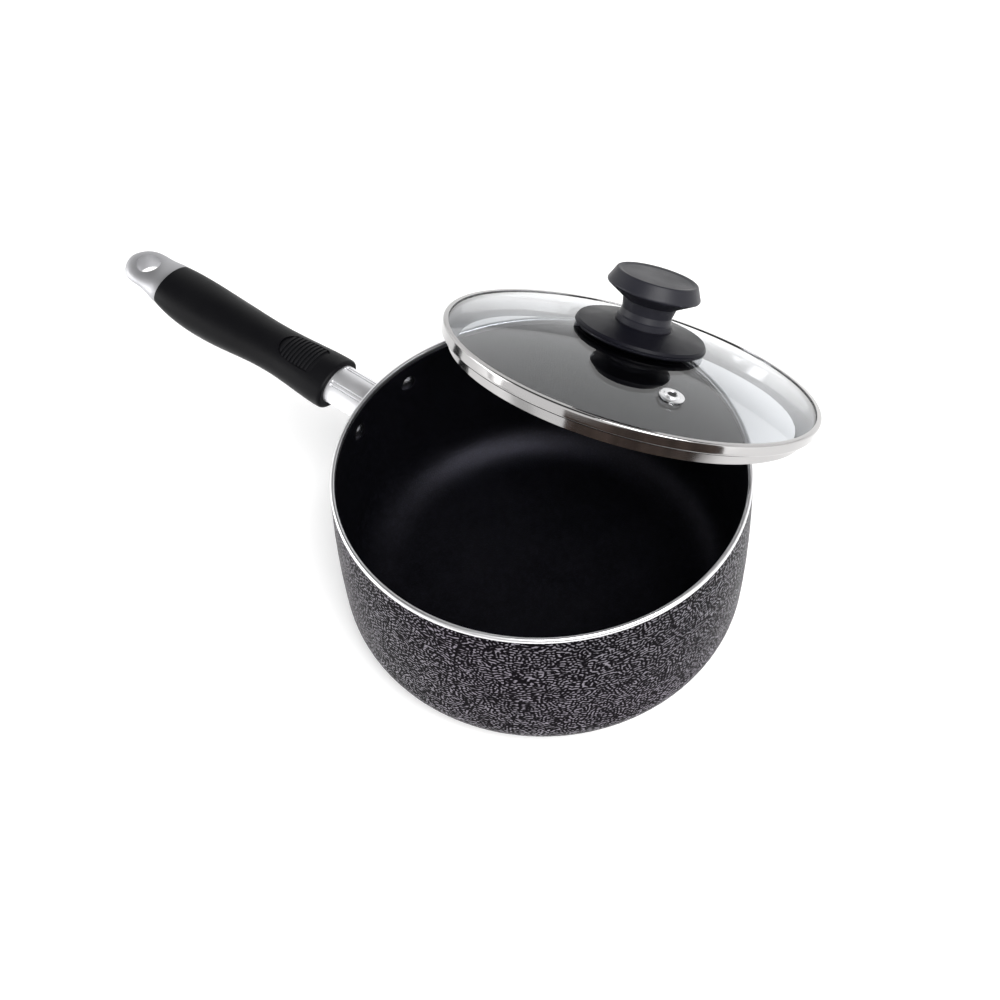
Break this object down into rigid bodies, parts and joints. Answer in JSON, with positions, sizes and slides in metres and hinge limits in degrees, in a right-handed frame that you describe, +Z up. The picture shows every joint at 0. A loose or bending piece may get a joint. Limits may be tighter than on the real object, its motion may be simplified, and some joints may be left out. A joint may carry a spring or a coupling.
{
  "type": "saucepan with glass lid",
  "caption": "Round aluminium saucepan with a long hand grip, hook hole and thumb pad, and a domed glass lid with a metal band, knob and steam vent leaning on its rim.",
  "frame": {"origin": "middle of the pan's flat base, on the surface it stands on", "axes": "+Z up, -X out along the handle, +Y towards the side over which the stored lid leans down"},
  "size_m": [0.3429, 0.2515, 0.1295],
  "materials": {
    "pan_aluminium": "hammered charcoal enamel outside, black non-stick coat inside, bare polished rim",
    "bright_aluminium": "satin to polished",
    "black_bakelite": "fine matt moulding",
    "black_rubber": "matt, ribbed",
    "zinc_plated_steel": "plated",
    "stainless_sheet": "mirror polished",
    "brass_insert": "turned",
    "lid_glass": "clear tempered",
    "black_silicone": "matt"
  },
  "bodies": {
    "pan": {"pan_shell": "pan_aluminium", "handle_bracket": "bright_aluminium", "handle_rivets": "bright_aluminium", "ferrule": "bright_aluminium", "grip": "black_bakelite", "thumb_pad": "black_rubber", "hanging_end": "bright_aluminium", "handle_bolt": "zinc_plated_steel", "bolt_washer": "zinc_plated_steel"},
    "lid": {"rim_band": "stainless_sheet", "lid_glass": "lid_glass", "rim_seal": "black_silicone", "vent_eyelet": "stainless_sheet", "vent_ring": "stainless_sheet", "upper_gasket": "black_silicone", "heat_disc": "black_bakelite", "knob": "black_bakelite", "knob_insert": "brass_insert", "lower_gasket": "black_silicone", "knob_washer": "stainless_sheet", "knob_screw": "zinc_plated_steel"}
  },
  "joints": [
    {"name": "lid_lift", "type": "slide", "parent": "pan", "child": "lid", "axis": [0, 0, 1], "range_m": [0, 0.16]}
  ]
}
